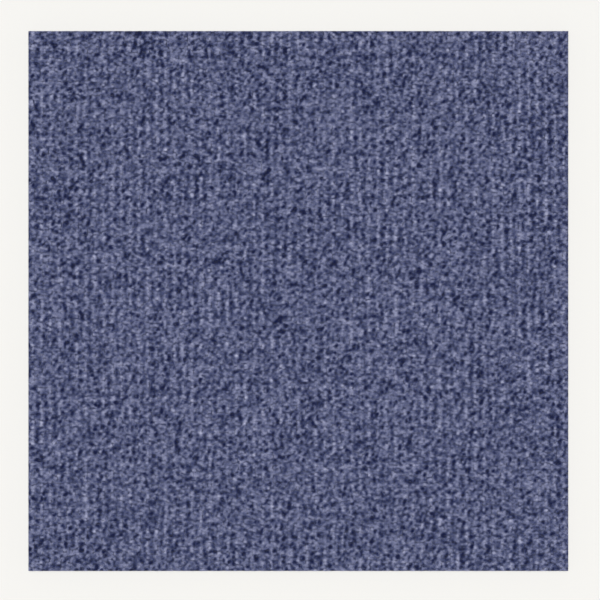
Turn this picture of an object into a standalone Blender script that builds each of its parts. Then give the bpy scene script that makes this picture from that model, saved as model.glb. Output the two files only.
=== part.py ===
"""A square carpet tile: a ribbed loop pile bonded to a heavy backing sheet.

Units are metres, +Z is up. The origin is at the middle of the underside, where the
tile rests on the floor. The tufted rows, and the ribs they form, run along Y.
"""

import math

import bmesh
import bpy

# Driving dimensions of the whole tile
TILE_SIDE = 0.500
BACKING_THICKNESS = 0.0032
PILE_THICKNESS = 0.0028

# The cut rim of the underside is eased, so that neighbouring tiles close at the pile
RIM_CHAMFER = 0.0004

# The film of adhesive between backing and pile
BOND_GAP = 0.0003

# The ribs that the rows of loops form
RIB_PITCH = 0.0082
GROOVE_DEPTH = 0.0006
SECTION_STEPS_PER_RIB = 8

# The ribs are shaded smooth, and edges that turn by more than this stay crisp
CRISP_EDGE_ANGLE = math.radians(40.0)

# Colours are linear
PILE_COLOUR = (0.105, 0.116, 0.205, 1.0)
PILE_ROUGHNESS = 0.95
BACKING_COLOUR = (0.030, 0.030, 0.033, 1.0)
BACKING_ROUGHNESS = 0.80


def clear_scene():
    """Remove whatever objects the opened scene holds."""
    for old in list(bpy.data.objects):
        bpy.data.objects.remove(old, do_unlink=True)


def make_material(name, colour, roughness):
    """Make a plain, non-metallic material."""
    material = bpy.data.materials.new(name)
    material.use_nodes = True
    material.diffuse_color = colour
    shader = material.node_tree.nodes["Principled BSDF"]
    shader.inputs["Base Color"].default_value = colour
    shader.inputs["Roughness"].default_value = roughness
    shader.inputs["Metallic"].default_value = 0.0
    return material


def add_object(name, shape, material):
    """Turn a bmesh into a named object of the scene, and free the bmesh."""
    bmesh.ops.recalc_face_normals(shape, faces=shape.faces)
    mesh = bpy.data.meshes.new(name)
    shape.to_mesh(mesh)
    shape.free()
    mesh.materials.append(material)
    piece = bpy.data.objects.new(name, mesh)
    bpy.context.scene.collection.objects.link(piece)
    return piece


def make_backing():
    """The backing sheet: a flat square slab whose lower rim is eased."""
    shape = bmesh.new()
    bmesh.ops.create_cube(shape, size=1.0)
    bmesh.ops.scale(
        shape, vec=(TILE_SIDE, TILE_SIDE, BACKING_THICKNESS), verts=shape.verts
    )
    rim = [
        edge for edge in shape.edges if all(vert.co.z < 0.0 for vert in edge.verts)
    ]
    bmesh.ops.bevel(
        shape,
        geom=rim,
        offset=RIM_CHAMFER,
        offset_type="OFFSET",
        affect="EDGES",
        segments=1,
        profile=0.5,
        material=-1,
    )
    backing = add_object(
        "backing",
        shape,
        make_material("backing", BACKING_COLOUR, BACKING_ROUGHNESS),
    )
    backing.location.z = BACKING_THICKNESS / 2
    return backing


def rib_section():
    """The ribbed top of the pile's section, as (x, z) from the left edge to the right.

    The ribs fill the tile's width with whole ribs, so that a groove meets each edge.
    """
    ribs = max(1, round(TILE_SIDE / RIB_PITCH))
    steps = ribs * SECTION_STEPS_PER_RIB
    points = []
    for step in range(steps + 1):
        turn = 2.0 * math.pi * step / SECTION_STEPS_PER_RIB
        drop = GROOVE_DEPTH * (1.0 + math.cos(turn)) / 2.0
        points.append(
            (TILE_SIDE * (step / steps - 0.5), PILE_THICKNESS - drop)
        )
    return points


def make_pile():
    """The pile: its ribbed section drawn along the tufted rows, with a flat base."""
    half = TILE_SIDE / 2
    outline = [(half, 0.0), (-half, 0.0), *rib_section()]
    shape = bmesh.new()
    corners = [shape.verts.new((x, -half, z)) for x, z in outline]
    front = shape.faces.new(corners)
    drawn = bmesh.ops.extrude_face_region(shape, geom=[front])
    far_end = [item for item in drawn["geom"] if isinstance(item, bmesh.types.BMVert)]
    bmesh.ops.translate(shape, vec=(0.0, TILE_SIDE, 0.0), verts=far_end)
    pile = add_object(
        "pile", shape, make_material("pile", PILE_COLOUR, PILE_ROUGHNESS)
    )
    pile.data.shade_smooth()
    pile.data.set_sharp_from_angle(angle=CRISP_EDGE_ANGLE)
    pile.location.z = BACKING_THICKNESS + BOND_GAP
    return pile


def main():
    clear_scene()
    make_backing()
    make_pile()


main()
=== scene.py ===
# %% [markdown]
# # A square carpet tile, seen from straight above
#
# The real thing is half a metre of tufted textile bonded to a heavy flat sheet. Seen as
# a whole it looks almost plain, and all its character is in the pile: tens of thousands
# of small yarn loops, each a slightly different blue, standing in straight rows that
# gather into faint ribs.
#
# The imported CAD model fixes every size. This script only dresses it: the plain ribbed
# solid gives way to real loops on a ground cloth, and the backing sheet keeps its CAD
# mesh and gets a finish of its own.

# %% Load the frame, and measure the box that everything has to stay in
import math

import bmesh
import bpy
import numpy as np
from mathutils import Matrix, Vector


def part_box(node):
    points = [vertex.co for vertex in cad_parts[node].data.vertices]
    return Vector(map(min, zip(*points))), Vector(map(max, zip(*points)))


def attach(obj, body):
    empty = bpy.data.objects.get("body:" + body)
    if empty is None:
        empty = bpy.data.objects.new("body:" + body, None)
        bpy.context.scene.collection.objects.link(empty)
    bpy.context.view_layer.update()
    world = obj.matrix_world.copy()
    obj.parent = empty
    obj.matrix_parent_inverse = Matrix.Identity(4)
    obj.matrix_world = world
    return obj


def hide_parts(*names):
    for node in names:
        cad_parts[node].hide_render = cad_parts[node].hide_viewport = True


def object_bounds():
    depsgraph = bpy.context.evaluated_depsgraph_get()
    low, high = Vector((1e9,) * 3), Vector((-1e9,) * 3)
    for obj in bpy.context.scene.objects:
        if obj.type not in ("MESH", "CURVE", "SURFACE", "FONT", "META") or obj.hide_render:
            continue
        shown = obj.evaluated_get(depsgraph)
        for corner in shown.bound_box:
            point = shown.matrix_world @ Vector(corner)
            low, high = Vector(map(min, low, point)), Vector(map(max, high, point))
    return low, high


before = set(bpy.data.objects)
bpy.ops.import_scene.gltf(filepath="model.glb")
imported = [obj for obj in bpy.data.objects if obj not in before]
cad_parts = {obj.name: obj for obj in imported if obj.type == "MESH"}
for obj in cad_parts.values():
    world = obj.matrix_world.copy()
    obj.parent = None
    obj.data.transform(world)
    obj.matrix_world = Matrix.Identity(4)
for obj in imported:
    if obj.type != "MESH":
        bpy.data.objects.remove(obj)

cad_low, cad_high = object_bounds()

MM = 0.001

pile_low, pile_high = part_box("pile")
_, backing_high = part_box("backing")
TILE_SIDE = cad_high.x - cad_low.x
HALF_SIDE = TILE_SIDE / 2


def in_mm(length):
    """A length in millimetres, rounded for printing."""
    return round(length / MM, 2)


print("tile side", in_mm(TILE_SIDE), "mm, height", in_mm(cad_high.z), "mm")

# %% [markdown]
# ## The camera
#
# The photograph is a product shot from straight above, with the sides of the tile
# parallel to the picture's. A long lens far away sees it the same way: nothing of the
# cut sides shows, and the square stays a square. The tile fills nine tenths of the
# frame and sits a pixel or two off its middle, so the camera is moved by that much
# rather than shifted.

# %% Put the camera over the tile, at the distance that gives the photograph's framing
PICTURE_SIDE = 600.0
TILE_LEFT, TILE_RIGHT = 28.3, 568.3
TILE_TOP, TILE_BOTTOM = 30.8, 571.2
LENS = 135.0
SENSOR = 36.0

tile_pixels = ((TILE_RIGHT - TILE_LEFT) + (TILE_BOTTOM - TILE_TOP)) / 2
metres_per_pixel = TILE_SIDE / tile_pixels
picture_width = PICTURE_SIDE * metres_per_pixel
camera_height = picture_width * LENS / SENSOR

camera_data = bpy.data.cameras.new("camera")
camera_data.lens = LENS
camera_data.sensor_width = SENSOR
camera = bpy.data.objects.new("camera", camera_data)
camera.location = (
    (PICTURE_SIDE / 2 - (TILE_LEFT + TILE_RIGHT) / 2) * metres_per_pixel,
    ((TILE_TOP + TILE_BOTTOM) / 2 - PICTURE_SIDE / 2) * metres_per_pixel,
    cad_high.z + camera_height,
)
bpy.context.scene.collection.objects.link(camera)
bpy.context.scene.camera = camera

print("camera", round(camera_height, 3), "m above the pile")
print("one pixel is", in_mm(metres_per_pixel), "mm")

# %% [markdown]
# ## Small helpers
#
# A few steps come back for every piece. Colours are picked on the screen as levels from
# 0 to 255, while a shader wants linear values, so one helper converts them. Shapes are
# made in a bmesh, which holds memory until it is freed, so the next turns one into a
# plain mesh and frees it. The last makes a finished mesh an object that sits at the
# origin and rides with the tile.
#
# An extrusion, or a Python set of points, comes out in an order that differs from run to
# run, and then a cut through it is rounded a little differently too. So two helpers keep
# the order fixed: one sorts a whole shape, the other lists things without a set.

# %% Helpers for colours and pieces
def linear(level):
    """The linear value of a screen level from 0 to 255, by the sRGB formula."""
    share = level / 255.0
    if share <= 0.04045:
        return share / 12.92
    return ((share + 0.055) / 1.055) ** 2.4


def screen_colour(red, green, blue, gain=1.0):
    """A linear colour from three screen levels, made brighter by gain."""
    return (*(linear(level) * gain for level in (red, green, blue)), 1.0)


def as_mesh(name, shape):
    """Turn a bmesh into a plain mesh, and free the bmesh."""
    mesh = bpy.data.meshes.new(name)
    shape.to_mesh(mesh)
    shape.free()
    return mesh


def in_fixed_order(shape):
    """The same shape with its points and faces sorted by place, and the old one freed."""
    ordered = bmesh.new()
    points = sorted(shape.verts, key=lambda vert: vert.co[:])
    twins = {vert: ordered.verts.new(vert.co) for vert in points}
    for face in sorted(shape.faces, key=lambda face: face.calc_center_median()[:]):
        ordered.faces.new([twins[vert] for vert in face.verts])
    shape.free()
    return ordered


def without_repeats(items):
    """A list of the items, each once, in the order in which they first come."""
    return list(dict.fromkeys(items))


def add_piece(name, mesh):
    """Link a finished mesh as a piece that rides with the tile."""
    piece = bpy.data.objects.new(name, mesh)
    bpy.context.scene.collection.objects.link(piece)
    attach(piece, "root")
    return piece


print("a middle grey is", round(linear(128), 3), "for a shader")

# %% [markdown]
# A material here is a small tree of nodes, and the same few turn up in each: some noise,
# a little arithmetic, a value stretched from one range to another, a colour ramp, and a
# height that shades as relief. Each gets a helper that adds the node, wires up what
# feeds it, and gives back the socket that the next one needs.

# %% Helpers for nodes
def add_node(tree, kind, inputs=(), **settings):
    """Add a node, set its properties, and feed its inputs with values or links."""
    node = tree.nodes.new(kind)
    for setting, value in settings.items():
        setattr(node, setting, value)
    for socket, value in dict(inputs).items():
        if isinstance(value, bpy.types.NodeSocket):
            tree.links.new(value, node.inputs[socket])
        else:
            node.inputs[socket].default_value = value
    return node


def maths(tree, operation, *values):
    """The result of one sum on two or three numbers or links."""
    node = add_node(tree, "ShaderNodeMath", enumerate(values), operation=operation)
    return node.outputs[0]


def stretched(tree, value, start, end, low=0.0, high=1.0):
    """A value carried over from one range to another."""
    ranges = {
        "Value": value,
        "From Min": start,
        "From Max": end,
        "To Min": low,
        "To Max": high,
    }
    return add_node(tree, "ShaderNodeMapRange", ranges).outputs["Result"]


def height_at(tree, place):
    """How high a place lies over the floor."""
    return add_node(tree, "ShaderNodeSeparateXYZ", {"Vector": place}).outputs["Z"]


def noise(tree, place, scale, detail, distortion=0.0):
    """Noise over a place, from about 0 to 1."""
    settings = {
        "Vector": place,
        "Scale": scale,
        "Detail": detail,
        "Distortion": distortion,
    }
    return add_node(tree, "ShaderNodeTexNoise", settings).outputs["Fac"]


print("helpers for nodes ready")

# %% Helpers for whole materials
def new_material(name, roughness, gloss):
    """A material with its shader, ready for nodes to feed it."""
    material = bpy.data.materials.new(name)
    material.use_nodes = True
    shader = material.node_tree.nodes["Principled BSDF"]
    shader.inputs["Roughness"].default_value = roughness
    shader.inputs["Specular IOR Level"].default_value = gloss
    return material, material.node_tree, shader


def ramp(tree, value, stops):
    """The colour at a value between the stops, given as (position, colour)."""
    node = add_node(tree, "ShaderNodeValToRGB", {"Fac": value})
    elements = node.color_ramp.elements
    while len(elements) < len(stops):
        elements.new(1.0)
    for element, (position, colour) in zip(elements, stops):
        element.position = position
        element.color = colour
    return node.outputs["Color"]


def mix_colours(tree, factor, first, second):
    """The colour between two others, all three from links."""
    colours = {"Factor": factor, "A": first, "B": second}
    node = add_node(tree, "ShaderNodeMix", colours, data_type="RGBA")
    return node.outputs["Result"]


def shade_as_relief(tree, shader, height, depth, strength):
    """Let a height shade the surface as relief of that depth."""
    settings = {"Height": height, "Distance": depth, "Strength": strength}
    relief = add_node(tree, "ShaderNodeBump", settings)
    tree.links.new(relief.outputs["Normal"], shader.inputs["Normal"])


print("helpers for materials ready")

# %% [markdown]
# ## One stitch of yarn
#
# A tufting needle pushes the yarn up through the ground cloth and lets it fall back
# into an arch, so every stitch is a small bridge of yarn with two feet in the cloth.
# The photograph shows sixty-one ribs, with loops about 3 mm apart. Three rows to a rib
# and 164 stitches to a row give that, and it is close to what a tufting machine sews.

# %% Set out the rows and the size of a stitch
RIBS = 61
ROWS_PER_RIB = 3
STITCHES_PER_ROW = 164
ROW_PITCH = TILE_SIDE / (RIBS * ROWS_PER_RIB)
STITCH_PITCH = TILE_SIDE / STITCHES_PER_ROW
CLOTH_TOP = pile_low.z + 0.9 * MM
LEAN_ROOM = 0.20 * MM
STITCH_HEIGHT = pile_high.z - LEAN_ROOM - CLOTH_TOP

print("rows every", in_mm(ROW_PITCH), "mm, stitches every", in_mm(STITCH_PITCH), "mm")
print("a stitch stands", in_mm(STITCH_HEIGHT), "mm over the ground cloth")

# %% [markdown]
# One stitch could be a curve with a bevel, but there will be some thirty thousand of
# them, so it has to be lean. It starts as half a circle of points, rounded on top and
# closed flat below, and smooth shading will round it off. The yarn is half as wide
# again as a row, so that neighbours press into each other and hide the cloth.

# %% Cut the yarn's section out of a circle
YARN_HALF_WIDTH = 0.76 * ROW_PITCH
YARN_DEPTH = 1.10 * MM
CIRCLE_POINTS = 8
LOWER_HALF = -0.1


def yarn_section():
    """The yarn's section, lying flat: rounded on one side, closed straight on the other."""
    shape = bmesh.new()
    bmesh.ops.create_circle(shape, segments=CIRCLE_POINTS, radius=1.0)
    lower = [vert for vert in shape.verts if vert.co.y < LOWER_HALF]
    bmesh.ops.delete(shape, geom=lower, context="VERTS")
    ends = [vert for vert in shape.verts if len(vert.link_edges) == 1]
    bmesh.ops.contextual_create(shape, geom=ends)
    size = (YARN_HALF_WIDTH, YARN_DEPTH, 1.0)
    bmesh.ops.scale(shape, vec=size, verts=shape.verts)
    return shape


stitch_shape = yarn_section()
print("a yarn section of", len(stitch_shape.verts), "points")

# %% [markdown]
# The section is stood up at one end of the arch and spun over it in two steps. The two
# end rings are made a little narrower, so that the stitch closes like a bead, and the
# whole is pressed flatter, because loops that stand close are trodden and steamed.

# %% Spin the section over the arch
ARCH_RADIUS = 0.72 * STITCH_PITCH
ARCH_SWEEP = math.radians(116)
ARCH_STEPS = 2
END_WIDTH_SHARE = 0.86
PRESSED = 0.50
ARCH_CENTRE = STITCH_HEIGHT - ARCH_RADIUS * PRESSED


def spin_arch(shape):
    """Sweep the section over the arch, and give back the edges of its open ends."""
    stand_up = Matrix.Rotation(math.radians(90), 4, "X")
    to_arch = Matrix.Translation((0.0, 0.0, ARCH_RADIUS - YARN_DEPTH))
    to_start = Matrix.Rotation(ARCH_SWEEP / 2, 4, "X")
    bmesh.ops.transform(shape, matrix=to_start @ to_arch @ stand_up, verts=shape.verts)
    bmesh.ops.spin(
        shape,
        geom=list(shape.verts) + list(shape.edges),
        cent=(0.0, 0.0, 0.0),
        axis=(1.0, 0.0, 0.0),
        angle=-ARCH_SWEEP,
        steps=ARCH_STEPS,
    )
    ends = [edge for edge in shape.edges if edge.is_boundary]
    end_verts = without_repeats(vert for edge in ends for vert in edge.verts)
    bmesh.ops.scale(shape, vec=(END_WIDTH_SHARE, 1.0, 1.0), verts=end_verts)
    bmesh.ops.scale(shape, vec=(1.0, 1.0, PRESSED), verts=shape.verts)
    bmesh.ops.translate(shape, vec=(0.0, 0.0, ARCH_CENTRE), verts=shape.verts)
    return ends


open_ends = spin_arch(stitch_shape)
print("an arch of", len(stitch_shape.faces), "faces")

# %% [markdown]
# Each end ring is extruded, and the new ring merged into one point under the cloth: that
# is the foot, and it leaves no open hole. Then a UV map called yarn is laid over the
# stitch, across in X and along the arch in Y, for the material to follow the yarn by.

# %% Draw the ends down to feet, and lay the map along the yarn
FOOT_SPREAD = 0.44 * STITCH_PITCH
FOOT_DEPTH = 1.10 * MM


def draw_feet(shape, ends):
    """Close each end of the arch with a foot below the cloth's top."""
    for side in (-1.0, 1.0):
        ring = [edge for edge in ends if edge.verts[0].co.y * side > 0.0]
        drawn = bmesh.ops.extrude_edge_only(shape, edges=ring)["geom"]
        tip = [item for item in drawn if isinstance(item, bmesh.types.BMVert)]
        foot = (0.0, side * FOOT_SPREAD, -FOOT_DEPTH)
        bmesh.ops.pointmerge(shape, verts=tip, merge_co=foot)
    bmesh.ops.recalc_face_normals(shape, faces=shape.faces)
    return in_fixed_order(shape)


def map_yarn(shape):
    """Shade the stitch smooth, and give it a UV map across and along the yarn."""
    along_yarn = shape.loops.layers.uv.new("yarn")
    for face in shape.faces:
        face.smooth = True
        for corner in face.loops:
            place = corner.vert.co
            turn = math.atan2(place.y, (place.z - ARCH_CENTRE) / PRESSED)
            across = 0.5 + place.x / (2 * YARN_HALF_WIDTH)
            along = 0.5 + turn / (2 * math.pi)
            corner[along_yarn].uv = (across, along)


stitch_shape = draw_feet(stitch_shape, open_ends)
map_yarn(stitch_shape)
stitch_mesh = as_mesh("stitch", stitch_shape)
stitch = bpy.data.objects.new("stitch", stitch_mesh)

print("one stitch has", len(stitch_mesh.polygons), "faces")
print("it measures", [in_mm(x) for x in stitch.dimensions], "mm")

# %% [markdown]
# ## The yarn's material
#
# The yarn is heather: strands dyed navy, mid blue and pale grey-blue are twisted
# together, and whichever comes out on top gives the place its tone, which also carries
# some painted shade in the grooves of the ribs. So the pile will carry a number called
# tone, and a colour ramp turns it into one of the yarn's blues.
# On the photograph all of them lie on one line: green a little over red, and blue well
# over both. Stray light washes the darkest yarn out, so both gaps are wider there.

# %% Line up the blues of the yarn
RED_UNDER_GREEN = 9.5
RED_GAP_FADING = 0.045
BLUE_OVER_GREEN = 39.3
BLUE_GAP_FADING = 0.08
DARKEST_LEVEL = 18
PALEST_LEVEL = 176
DYE_STEPS = 6
YARN_LIFT = 1.2


def blue(level, lift=1.0):
    """The blue of the photograph whose green has this level."""
    under = RED_UNDER_GREEN - RED_GAP_FADING * level
    over = BLUE_OVER_GREEN - BLUE_GAP_FADING * level
    return screen_colour(level - under, level, level + over, lift)


def dye_stops():
    """The stops of the ramp from the darkest to the palest blue."""
    span = PALEST_LEVEL - DARKEST_LEVEL
    shares = [step / DYE_STEPS for step in range(DYE_STEPS + 1)]
    return [(share, blue(DARKEST_LEVEL + span * share, YARN_LIFT)) for share in shares]


print(len(dye_stops()), "blues from level", DARKEST_LEVEL, "to", PALEST_LEVEL)

# %% [markdown]
# Two finer things ride on the tone. The twisted plies show as slanting stripes, so they
# have to run along the yarn: they are drawn on the stitch's own UV map, as a wave that
# goes to and fro between 0 and 1. The fibres are far finer and lie anyhow, so a noise
# on the object's coordinates does for them. Both also go into the relief.

# %% Mix the heather yarn
YARN_ROUGHNESS = 0.92
YARN_GLOSS = 0.15
YARN_SHEEN = 0.08
SHEEN_ROUGHNESS = 0.6
PLY_TURNS = 6.0
PLY_SLANT = 4.0
PLY_CONTRAST = 0.20
PLY_RELIEF = 0.7
FIBRE_SCALE = 3000.0
FIBRE_DETAIL = 2.0
FIBRE_CONTRAST = 0.10
NOISE_MOSTLY_OVER = 0.3
NOISE_MOSTLY_UNDER = 0.7
FUZZ_DEPTH = 0.25 * MM
FUZZ_STRENGTH = 0.8


def ply_wave(tree):
    """The stripes of the twisted plies, from 0 to 1 and back, slanting over the yarn."""
    place = add_node(tree, "ShaderNodeUVMap", uv_map="yarn").outputs["UV"]
    yarn = add_node(tree, "ShaderNodeSeparateXYZ", {"Vector": place}).outputs
    slant = maths(tree, "MULTIPLY", yarn["X"], PLY_SLANT)
    turns = maths(tree, "MULTIPLY_ADD", yarn["Y"], 2 * PLY_TURNS, slant)
    return maths(tree, "PINGPONG", turns, 1.0)


def heather_yarn():
    """Matt twisted yarn, as pale or dark as its tone says."""
    material, tree, shader = new_material("heather_yarn", YARN_ROUGHNESS, YARN_GLOSS)
    shader.inputs["Sheen Weight"].default_value = YARN_SHEEN
    shader.inputs["Sheen Roughness"].default_value = SHEEN_ROUGHNESS
    tone = add_node(tree, "ShaderNodeAttribute", attribute_name="tone").outputs["Fac"]
    plies = ply_wave(tree)
    centred = maths(tree, "SUBTRACT", plies, 0.5)
    plied = maths(tree, "MULTIPLY_ADD", centred, PLY_CONTRAST, tone)
    place = add_node(tree, "ShaderNodeTexCoord").outputs["Object"]
    fibres = noise(tree, place, FIBRE_SCALE, FIBRE_DETAIL)
    fuzz = stretched(
        tree,
        fibres,
        NOISE_MOSTLY_OVER,
        NOISE_MOSTLY_UNDER,
        -FIBRE_CONTRAST,
        FIBRE_CONTRAST,
    )
    colour = ramp(tree, maths(tree, "ADD", plied, fuzz), dye_stops())
    tree.links.new(colour, shader.inputs["Base Color"])
    height = maths(tree, "MULTIPLY_ADD", plies, PLY_RELIEF, fibres)
    shade_as_relief(tree, shader, height, FUZZ_DEPTH, FUZZ_STRENGTH)
    return material


stitch_mesh.materials.append(heather_yarn())
print("yarn mixed, with", in_mm(1 / FIBRE_SCALE), "mm between its fibres")

# %% [markdown]
# ## What makes a place pale or dark
#
# The tone is what gives this carpet its look, so it is built up from what the photograph
# shows. The strands change every few millimetres, which makes an even speckle about a
# loop across. It is smooth noise: random values on a fine grid over the tile, with
# everything finer than a loop filtered out. The dark strands stand out a little more
# than the pale ones, so the speckle is then pulled towards the dark.
#
# A seeded generator gives the same carpet each time.

# %% Make the speckle
CARPET_SEED = 2706
SPECKLE_CELL = 0.6 * MM
FINEST_SPECKLE = 3.6 * MM
FADING_POWER = 3
DARK_PULL = 0.45
CREST_LIFE_ACROSS = 44.0 * MM
CREST_LIFE_ALONG = 20.0 * MM

rng = np.random.default_rng(CARPET_SEED)


def speckle_field(finest_across, finest_along):
    """A grid of smooth random values over the tile, their spread set to 1."""
    cells = round(TILE_SIDE / SPECKLE_CELL) + 2
    own = rng.normal(size=(cells, cells))
    wave = np.fft.fftfreq(cells, SPECKLE_CELL)
    fineness = np.hypot(wave[:, None] * finest_across, wave[None, :] * finest_along)
    smooth = np.fft.ifft2(np.fft.fft2(own) * np.exp(-fineness ** FADING_POWER)).real
    return smooth / smooth.std()


def field_at(field, x, y):
    """A field's value at each place, read between the grid's points."""
    across = (x + HALF_SIDE) / SPECKLE_CELL
    along = (y + HALF_SIDE) / SPECKLE_CELL
    last = len(field) - 2
    i = np.clip(np.floor(across).astype(int), 0, last)
    j = np.clip(np.floor(along).astype(int), 0, last)
    u = np.clip(across - i, 0.0, 1.0)
    v = np.clip(along - j, 0.0, 1.0)
    near = field[i, j] * (1 - v) + field[i, j + 1] * v
    far = field[i + 1, j] * (1 - v) + field[i + 1, j + 1] * v
    return near * (1 - u) + far * u


speckle = speckle_field(FINEST_SPECKLE, FINEST_SPECKLE)
speckle = -np.exp(-DARK_PULL * speckle)
speckle = (speckle - speckle.mean()) / speckle.std()
crest_life = speckle_field(CREST_LIFE_ACROSS, CREST_LIFE_ALONG)

print("speckle on", speckle.shape, "points")
print("it goes from", round(speckle.min(), 1), "to", round(speckle.max(), 1))

# %% [markdown]
# The ribs come next: their crests are paler than the grooves between them. This is
# partly paler yarn on the crests and partly painted shade in the grooves, where the rows
# lie lower. They show more in some places than in others, which a second field does. It
# changes slowly, and slowest of all across the ribs.
#
# Two faint ripples that look like the machine's own rhythm complete it, one straight
# across the rows every centimetre, one slanting.

# %% Add up the tone of a place
TONE_MIDDLE = 0.400
SPECKLE_SPREAD = 0.198
# Paler crest yarn, and painted shade in the lower groove rows.
CREST_DYE_AND_GROOVE_SHADE = 0.068
CREST_LIFE = 0.5
RIPPLE_TONE = 0.03
RIPPLE_LENGTH = 10.1 * MM
SLANT_TONE = 0.064
SLANT_LENGTH = 4.8 * MM


def tone_at(x, y):
    """The yarn's tone at each place with painted groove shade, before the stitch's own
    share.
    """
    rib_turn = 2.0 * math.pi * (x + HALF_SIDE) / (ROW_PITCH * ROWS_PER_RIB)
    # Crests paler and grooves darker: partly yarn, partly painted shade where the rows lie
    # lower.
    crest_dye_and_groove_shade = -np.cos(rib_turn) * (1.0 + CREST_LIFE * field_at(crest_life, x, y))
    ripple = np.cos(2.0 * math.pi * y / RIPPLE_LENGTH)
    slant = np.cos(rib_turn + 2.0 * math.pi * y / SLANT_LENGTH)
    return (
        TONE_MIDDLE
        + SPECKLE_SPREAD * field_at(speckle, x, y)
        + CREST_DYE_AND_GROOVE_SHADE * crest_dye_and_groove_shade
        + RIPPLE_TONE * ripple
        + SLANT_TONE * slant
    )


middle = tone_at(np.zeros(1), np.zeros(1))
print("tone in the middle of the tile", round(float(middle[0]), 2))

# %% [markdown]
# ## Laying the rows
#
# Each rib of the pile is three rows of stitches: a tall row on its crest with a lower
# one on either side. A grid of points stands for the needle holes, one point to a
# stitch. Each row starts at its own place, so that the stitches don't line up across
# the tile, and runs a stitch too far at both ends, for the tile to be cut out of it.

# %% Count the needle holes, and say how low each row lies
OVERSHOOT = 1
GROOVE_DROP = 0.6 * MM

rows = RIBS * ROWS_PER_RIB
stitches = STITCHES_PER_ROW + 2 * OVERSHOOT
stagger = rng.uniform(-0.5, 0.5, size=rows)


def rib_drop(row):
    """How far a row lies below the crest, from its place in the rib."""
    turn = 2.0 * math.pi * (row % ROWS_PER_RIB + 0.5) / ROWS_PER_RIB
    return GROOVE_DROP * (1.0 + math.cos(turn)) / 2.0


def bare_grid(row_count):
    """A mesh with one point to a needle hole."""
    grid = bmesh.new()
    bmesh.ops.create_grid(
        grid, x_segments=stitches - 1, y_segments=row_count - 1, size=0.5
    )
    return as_mesh("needle_holes", grid)


print(rows, "rows of", stitches, "stitches:", rows * stitches, "in all")

# %% [markdown]
# Three attributes tell each hole how its stitch stands: how far it leans, how big it
# is, and a little tone of its own. Soft yarn is never sewn quite regularly, so all of
# them differ a little from stitch to stitch, but none so far that it would look torn
# out. A fourth attribute leaves out a stitch whose foot would miss the cloth.

# %% Tell every needle hole of a band how its stitch stands
SIDE_WANDER = 0.16
ALONG_WANDER = 0.20
SIZE_SPREAD = 0.10
HEIGHT_SPREAD = 0.05
LEAN = math.radians(7)
TWIST = math.radians(10)
OWN_SPREAD = 0.04
MOST_SPREADS = 2
MOST_SUNK = 3
FOOT_HOLD = 0.3 * MM


def never_far(values):
    """Random values, with none so far out that a stitch would look wrong."""
    return values.clip(-MOST_SPREADS, MOST_SPREADS)


def needle_grid(first_row, row_count):
    """The points of a band's needle holes, with what each stitch is told."""
    mesh = bare_grid(row_count)
    row = np.repeat(np.arange(first_row, first_row + row_count), stitches)
    along = np.tile(np.arange(stitches), row_count)
    count = len(row)
    drop = np.array([rib_drop(r) for r in range(rows)])[row]
    wander = rng.normal(size=(count, 2))
    place = np.empty((count, 3))
    place[:, 0] = (row + 0.5 + SIDE_WANDER * wander[:, 0]) * ROW_PITCH - HALF_SIDE
    place[:, 1] = (
        along - OVERSHOOT + 0.5 + stagger[row] + ALONG_WANDER * wander[:, 1]
    ) * STITCH_PITCH - HALF_SIDE
    place[:, 2] = CLOTH_TOP
    mesh.vertices.foreach_set("co", place.ravel())
    size = 1.0 + SIZE_SPREAD * never_far(rng.normal(size=(count, 3)))
    sunk = np.abs(rng.normal(size=count)).clip(0, MOST_SUNK)
    height = 1.0 - HEIGHT_SPREAD * sunk
    size[:, 2] = height * (STITCH_HEIGHT - drop) / STITCH_HEIGHT
    lean = never_far(rng.normal(size=(count, 3))) * (LEAN, LEAN, TWIST)
    own = OWN_SPREAD * rng.normal(size=count)
    inner_foot = np.abs(place[:, 1]) - FOOT_SPREAD * size[:, 1]
    held = (inner_foot < HALF_SIDE - FOOT_HOLD).astype("f")
    for name, kind, field, values in (
        ("own", "FLOAT", "value", own),
        ("held", "FLOAT", "value", held),
        ("lean", "FLOAT_VECTOR", "vector", lean),
        ("reach", "FLOAT_VECTOR", "vector", size),
    ):
        attribute = mesh.attributes.new(name, kind, "POINT")
        attribute.data.foreach_set(field, np.ascontiguousarray(values, "f").ravel())
    return mesh


print("no stitch leans more than", round(math.degrees(MOST_SPREADS * LEAN)), "degrees")

# %% [markdown]
# Geometry Nodes does the sewing, because it sets thousands of copies at once. The group
# takes the points, puts the stitch on each one that holds, turned and sized as its
# attributes say, and makes the copies real mesh at the end.

# %% Wire up the node group that sews the stitch onto every point
def told(tree, name, kind="FLOAT"):
    """What each needle hole tells its stitch under this name."""
    node = add_node(
        tree, "GeometryNodeInputNamedAttribute", {"Name": name}, data_type=kind
    )
    return node.outputs["Attribute"]


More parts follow.
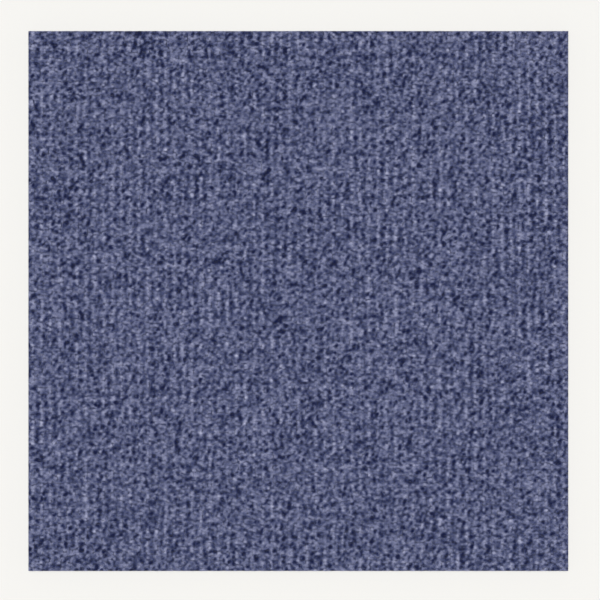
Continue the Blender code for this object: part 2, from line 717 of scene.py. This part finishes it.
def sewing_nodes():
    """A node group that puts the stitch on each point, and makes it real mesh."""
    tree = bpy.data.node_groups.new("sew_stitches", "GeometryNodeTree")
    for way in ("INPUT", "OUTPUT"):
        tree.interface.new_socket(
            "Geometry", in_out=way, socket_type="NodeSocketGeometry"
        )
    points = tree.nodes.new("NodeGroupInput")
    result = tree.nodes.new("NodeGroupOutput")
    shape = add_node(tree, "GeometryNodeObjectInfo", {"Object": stitch})
    lean = {"Euler": told(tree, "lean", "FLOAT_VECTOR")}
    turn = add_node(tree, "FunctionNodeEulerToRotation", lean)
    sewing = {
        "Points": points.outputs["Geometry"],
        "Selection": told(tree, "held"),
        "Instance": shape.outputs["Geometry"],
        "Rotation": turn.outputs["Rotation"],
        "Scale": told(tree, "reach", "FLOAT_VECTOR"),
    }
    sewn = add_node(tree, "GeometryNodeInstanceOnPoints", sewing)
    copies = {"Geometry": sewn.outputs["Instances"]}
    real = add_node(tree, "GeometryNodeRealizeInstances", copies)
    tree.links.new(real.outputs["Geometry"], result.inputs["Geometry"])
    return tree


sewing = sewing_nodes()
print("node group", sewing.name, "with", len(sewing.nodes), "nodes")

# %% [markdown]
# The evaluated result is copied into a plain mesh, so that nothing live stays on the
# piece. Only then does every point get its tone. A stitch is longer than the finest
# speckle, so one tone to a stitch would look like coarse dots: reading the tone at each
# point lets the speckle run on from one stitch into the next, as dyed strands do.

# %% Sew a band, and give every point its tone
def sewn_mesh(first_row, row_count):
    """The stitches of some rows as a plain mesh."""
    points = needle_grid(first_row, row_count)
    holes = bpy.data.objects.new("needle_holes", points)
    bpy.context.scene.collection.objects.link(holes)
    holes.modifiers.new("sew", "NODES").node_group = sewing
    graph = bpy.context.evaluated_depsgraph_get()
    mesh = bpy.data.meshes.new_from_object(holes.evaluated_get(graph))
    bpy.data.objects.remove(holes)
    bpy.data.meshes.remove(points)
    return mesh


def sew_band(name, first_row, row_count):
    """One band of the pile as a plain mesh of stitches, with its tones."""
    mesh = sewn_mesh(first_row, row_count)
    mesh.name = name
    count = len(mesh.vertices)
    place = np.empty(count * 3, "f")
    mesh.vertices.foreach_get("co", place)
    place = place.reshape(-1, 3)
    own = np.empty(count, "f")
    mesh.attributes["own"].data.foreach_get("value", own)
    tone = (tone_at(place[:, 0], place[:, 1]) + own).astype("f")
    mesh.attributes.new("tone", "FLOAT", "POINT").data.foreach_set("value", tone)
    for spent in ("own", "held", "lean", "reach"):
        if spent in mesh.attributes:
            mesh.attributes.remove(mesh.attributes[spent])
    return mesh


print("ready to sew")

# %% [markdown]
# ## Cutting the tile
#
# A tile is stamped out of a wide roll, so its outer stitches are cut through and the
# pile ends in a clean straight side. The same is done here: a flat blade takes off what
# lies outside, and every cut yarn is closed with a face that looks outwards. Cut yarn
# springs back a hair from the blade, so its ends never lie in the same plane as the cut
# edge of the cloth under it.

# %% Make the blade that cuts a side
SPRING_BACK = 0.06 * MM
BLADE_REACH = 2 * STITCH_PITCH
ON_THE_BLADE = 1e-5
BLADE_EDGE = 1e-6


def cut_side(shape, point, outward):
    """Take off whatever lies outside a vertical blade, and close the cut yarns."""

    def beyond(vert):
        return (vert.co - point).dot(outward)

    near = [vert for vert in shape.verts if beyond(vert) > -BLADE_REACH]
    faces = without_repeats(face for vert in near for face in vert.link_faces)
    edges = without_repeats(edge for face in faces for edge in face.edges)
    verts = without_repeats(vert for face in faces for vert in face.verts)
    bmesh.ops.bisect_plane(
        shape,
        geom=[*verts, *edges, *faces],
        dist=BLADE_EDGE,
        plane_co=point,
        plane_no=outward,
        clear_outer=True,
    )
    rims = [edge for edge in shape.edges if edge.is_boundary]
    cut = [
        edge
        for edge in rims
        if all(abs(beyond(vert)) < ON_THE_BLADE for vert in edge.verts)
    ]
    caps = bmesh.ops.holes_fill(shape, edges=cut, sides=0)["faces"]
    inward = [face for face in caps if face.normal.dot(outward) < 0.0]
    bmesh.ops.reverse_faces(shape, faces=inward)
    return len(caps)


def trim_band(mesh):
    """Cut a band to the tile's outline, and say how many yarns were cut."""
    shape = bmesh.new()
    shape.from_mesh(mesh)
    yarns = 0
    for x, y in ((1, 0), (-1, 0), (0, 1), (0, -1)):
        outward = Vector((x, y, 0.0))
        yarns += cut_side(shape, outward * (HALF_SIDE - SPRING_BACK), outward)
    shape.to_mesh(mesh)
    shape.free()
    return yarns


print("blade set back by", in_mm(SPRING_BACK), "mm")

# %% [markdown]
# The pile is one thing on the real tile. Here it is laid in six bands of rows, because
# one mesh of thirty thousand stitches would be too heavy for its file.

# %% Sew and cut the six bands
BANDS = 6

edges_of_bands = [round(rows * band / BANDS) for band in range(BANDS + 1)]
for band, (first, after) in enumerate(zip(edges_of_bands, edges_of_bands[1:]), start=1):
    mesh = sew_band(f"loops_{band}", first, after - first)
    cut_yarns = trim_band(mesh)
    piece = add_piece(f"loops_{band}", mesh)
    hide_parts("pile")
    triangles = sum(len(face.vertices) - 2 for face in mesh.polygons)
    print(piece.name, "to row", after, "has", triangles, "triangles")
    print("of its yarns", cut_yarns, "are cut")

bpy.data.objects.remove(stitch)

# %% [markdown]
# ## The ground cloth
#
# The loops are sewn through a thin woven cloth, and a coat of glue under it locks them
# in and holds the whole textile to the backing. It shows only as a dark ground between
# the stitches, and as a thin layer along the cut sides.
#
# It dips where the rows of yarn pull it down. So it is a grid with two lines to a row,
# every other line lowered. A Solidify modifier would push the sloping sides outwards,
# past the tile's own, so the grid is extruded instead and its lower face pressed flat.

# %% Make the ground cloth that carries the rows
CLOTH_DIP = 0.12 * MM
GLUE_FILM = 0.02 * MM
LINES_TO_A_ROW = 2
FIELDS_ALONG_THE_ROWS = 8


def make_ground_cloth():
    """A cloth the size of the tile, dipped along every tufted row, flat below."""
    shape = bmesh.new()
    lines = LINES_TO_A_ROW * rows
    bmesh.ops.create_grid(
        shape, x_segments=lines, y_segments=FIELDS_ALONG_THE_ROWS, size=HALF_SIDE
    )
    line_gap = TILE_SIDE / lines
    dipped = [
        vert
        for vert in shape.verts
        if round((vert.co.x + HALF_SIDE) / line_gap) % 2 == 1
    ]
    bmesh.ops.translate(shape, vec=(0.0, 0.0, -CLOTH_DIP), verts=dipped)
    bmesh.ops.translate(shape, vec=(0.0, 0.0, CLOTH_TOP), verts=shape.verts)
    drawn = bmesh.ops.extrude_face_region(shape, geom=shape.faces)["geom"]
    under = [item for item in drawn if isinstance(item, bmesh.types.BMVert)]
    bmesh.ops.scale(shape, vec=(1.0, 1.0, 0.0), verts=under)
    glue_bottom = (0.0, 0.0, backing_high.z + GLUE_FILM)
    bmesh.ops.translate(shape, vec=glue_bottom, verts=under)
    bmesh.ops.recalc_face_normals(shape, faces=shape.faces)
    return as_mesh("ground_cloth", in_fixed_order(shape))


ground_cloth = add_piece("ground_cloth", make_ground_cloth())
print("ground cloth from", in_mm(backing_high.z), "to", in_mm(CLOTH_TOP), "mm")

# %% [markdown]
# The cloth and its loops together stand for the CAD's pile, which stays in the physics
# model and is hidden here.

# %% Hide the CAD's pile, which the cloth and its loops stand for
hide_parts("pile")

# %% [markdown]
# ## The ground cloth's material
#
# Close by, the cloth is flat tapes woven over and under each other, dyed to go with the
# pile. Bricks whose courses are shifted by half look just like such a plain weave.
# Under the cloth's own third of a millimetre comes the coat of glue, which has no
# weave: the height of a point says which of the two it is.

# %% Weave the cloth's material
CLOTH_ROUGHNESS = 0.75
CLOTH_GLOSS = 0.15
CLOTH_LEVEL = 62
TAPE_CONTRAST = 14
TAPE_WIDTH = 1.1 * MM
TAPE_GAP = 0.08 * MM
TAPE_LAYER = 0.3 * MM
LAYERS_MEET = 0.05 * MM
LUMP_SCALE = 700.0
LUMP_DETAIL = 3.0
GLUE_STOPS = [(0.35, screen_colour(36, 37, 44)), (0.70, screen_colour(62, 64, 74))]
FOLD_DEPTH = 0.15 * MM
FOLD_STRENGTH = 0.6


def tape_cloth():
    """Dark woven tape cloth over a coat of glue."""
    material, tree, shader = new_material("tape_cloth", CLOTH_ROUGHNESS, CLOTH_GLOSS)
    place = add_node(tree, "ShaderNodeTexCoord").outputs["Object"]
    weave = {
        "Vector": place,
        "Color1": blue(CLOTH_LEVEL),
        "Color2": blue(CLOTH_LEVEL + TAPE_CONTRAST),
        "Mortar": blue(CLOTH_LEVEL - TAPE_CONTRAST),
        "Scale": 1.0,
        "Mortar Size": TAPE_GAP,
        "Brick Width": 2 * TAPE_WIDTH,
        "Row Height": TAPE_WIDTH,
    }
    tapes = add_node(tree, "ShaderNodeTexBrick", weave)
    lumps = noise(tree, place, LUMP_SCALE, LUMP_DETAIL)
    glue = ramp(tree, lumps, GLUE_STOPS)
    glue_top = CLOTH_TOP - CLOTH_DIP - TAPE_LAYER
    is_cloth = stretched(tree, height_at(tree, place), glue_top, glue_top + LAYERS_MEET)
    colour = mix_colours(tree, is_cloth, glue, tapes.outputs["Color"])
    tree.links.new(colour, shader.inputs["Base Color"])
    gaps = maths(tree, "MULTIPLY", tapes.outputs["Fac"], is_cloth)
    relief = maths(tree, "SUBTRACT", lumps, gaps)
    shade_as_relief(tree, shader, relief, FOLD_DEPTH, FOLD_STRENGTH)
    return material


ground_cloth.data.materials.append(tape_cloth())
print("cloth woven from tapes", in_mm(TAPE_WIDTH), "mm wide")

# %% [markdown]
# ## The backing's material
#
# The backing is a heavy filled sheet, almost black, with a thin fleece pressed into its
# underside. Its mesh is the CAD's own and stays untouched: only the material in its
# slot is changed.
#
# One material covers it all. Everywhere there is a fine grain of mineral filler, with
# a few paler specks where the knife has cut through it. On the underside the fibres of
# the fleece lie in every direction: a noise with strong distortion draws them, paler
# and rougher than the sheet. As with the glue, the height of a point decides.

# %% Mix the finish of the backing
def grey(level, blue_over_red=3):
    """A dark grey, a little cool."""
    return screen_colour(level, level, level + blue_over_red)


SHEET_ROUGHNESS = 0.72
SHEET_GLOSS = 0.3
GRAIN_SCALE = 1500.0
GRAIN_DETAIL = 3.0
GRAIN_STOPS = [(0.35, grey(38)), (0.60, grey(52)), (0.72, grey(86))]
FLEECE_ROUGHNESS = 0.96
FLEECE_SCALE = 420.0
FLEECE_DETAIL = 4.0
FLEECE_DISTORTION = 5.0
FLEECE_STOPS = [(0.34, grey(38)), (0.50, grey(58)), (0.66, grey(96))]
FLEECE_STARTS = 0.5 * MM
FLEECE_COVERS = 0.1 * MM
SHEET_RELIEF = 0.2 * MM
SHEET_RELIEF_STRENGTH = 0.5


def filled_sheet():
    """Charcoal filled sheet with a felted underside."""
    material, tree, shader = new_material("filled_sheet", SHEET_ROUGHNESS, SHEET_GLOSS)
    place = add_node(tree, "ShaderNodeTexCoord").outputs["Object"]
    grain = noise(tree, place, GRAIN_SCALE, GRAIN_DETAIL)
    fleece = noise(tree, place, FLEECE_SCALE, FLEECE_DETAIL, FLEECE_DISTORTION)
    is_fleece = stretched(tree, height_at(tree, place), FLEECE_STARTS, FLEECE_COVERS)
    sheet_colour = ramp(tree, grain, GRAIN_STOPS)
    fleece_colour = ramp(tree, fleece, FLEECE_STOPS)
    colour = mix_colours(tree, is_fleece, sheet_colour, fleece_colour)
    tree.links.new(colour, shader.inputs["Base Color"])
    matt = stretched(tree, is_fleece, 0.0, 1.0, SHEET_ROUGHNESS, FLEECE_ROUGHNESS)
    tree.links.new(matt, shader.inputs["Roughness"])
    relief = maths(tree, "MULTIPLY_ADD", fleece, is_fleece, grain)
    shade_as_relief(tree, shader, relief, SHEET_RELIEF, SHEET_RELIEF_STRENGTH)
    return material


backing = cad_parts["backing"]
for slot in backing.material_slots:
    slot.material = filled_sheet()
print("backing finished in", [slot.material.name for slot in backing.material_slots])

# %% [markdown]
# ## The floor
#
# The tile lies on an evenly pale ground that runs past the picture on every side. A
# wide grid just under the tile does it, in a matt off-white. It is part of the stage,
# not of the object.

# %% Lay the floor
FLOOR_HALF = 20.0
FLOOR_FIELDS = 8
FLOOR_ROUGHNESS = 0.9
FLOOR_GLOSS = 0.0
FLOOR_COLOUR = screen_colour(246, 245, 242, 0.875)


def lay_floor():
    """A wide, matt, off-white floor at the height the tile rests on."""
    shape = bmesh.new()
    bmesh.ops.create_grid(
        shape, x_segments=FLOOR_FIELDS, y_segments=FLOOR_FIELDS, size=FLOOR_HALF
    )
    bmesh.ops.translate(shape, vec=(0.0, 0.0, cad_low.z), verts=shape.verts)
    mesh = as_mesh("floor", shape)
    material, tree, shader = new_material("pale_floor", FLOOR_ROUGHNESS, FLOOR_GLOSS)
    shader.inputs["Base Color"].default_value = FLOOR_COLOUR
    mesh.materials.append(material)
    floor = bpy.data.objects.new("floor", mesh)
    bpy.context.scene.collection.objects.link(floor)
    return floor


floor = lay_floor()
print("floor", [round(x, 1) for x in floor.dimensions], "m")

# %% [markdown]
# ## The light
#
# The photograph has no shadow beside the tile, and the pile is lit evenly from edge to
# edge. A sun with a very wide disc does the same: it is as soft as a large studio lamp,
# and as strong far from the tile as beside it. It stands almost straight overhead,
# turned a little so that the loops keep a lit and a shaded side.

# %% Hang a soft sun over the tile
SUN_STRENGTH = 3.20
SUN_SOFTNESS = math.radians(28)
SUN_COMES_FROM = Vector((-0.045, 0.055, 1.0))

sun_data = bpy.data.lights.new("soft_sun", "SUN")
sun_data.energy = SUN_STRENGTH
sun_data.angle = SUN_SOFTNESS
sun = bpy.data.objects.new("soft_sun", sun_data)
sun.location = SUN_COMES_FROM
sun.rotation_euler = (-SUN_COMES_FROM).to_track_quat("-Z", "Y").to_euler()
bpy.context.scene.collection.objects.link(sun)

print("sun", SUN_STRENGTH, "with a disc of", round(math.degrees(SUN_SOFTNESS)), "degrees")

# %% [markdown]
# The world is the room around it. It is dim overhead: a pale sky would reach the floor
# beside the tile less than the rest, and leave a grey rim there. Towards the horizon
# it becomes as pale as the floor: that lifts the cut sides, and from a low angle the
# floor runs into it without an edge.
#
# The Standard view shows colours as they are, so the levels that were measured on the
# photograph can be used in the materials.

# %% Paint the room around the tile
ROOM_COLOUR = screen_colour(246, 245, 241)
OVERHEAD_STRENGTH = 0.10
HORIZON_STRENGTH = 1.0
PALE_UP_TO = 0.12
DIM_FROM = 0.35


def pale_room():
    """A world that is dim overhead and pale at the horizon."""
    world = bpy.data.worlds.new("studio")
    world.use_nodes = True
    tree = world.node_tree
    direction = add_node(tree, "ShaderNodeTexCoord").outputs["Generated"]
    strength = stretched(
        tree,
        height_at(tree, direction),
        PALE_UP_TO,
        DIM_FROM,
        HORIZON_STRENGTH,
        OVERHEAD_STRENGTH,
    )
    room = tree.nodes["Background"]
    room.inputs["Color"].default_value = ROOM_COLOUR
    tree.links.new(strength, room.inputs["Strength"])
    return world


bpy.context.scene.world = pale_room()
bpy.context.scene.view_settings.view_transform = "Standard"

print("room dim from", round(math.degrees(math.asin(DIM_FROM))), "degrees up")

# %% [markdown]
# ## The CAD's box
#
# Dressing must not change the tile's size. The CAD's box is printed at the end.

print("CAD box", [in_mm(x) for x in (*cad_low, *cad_high)], "mm")
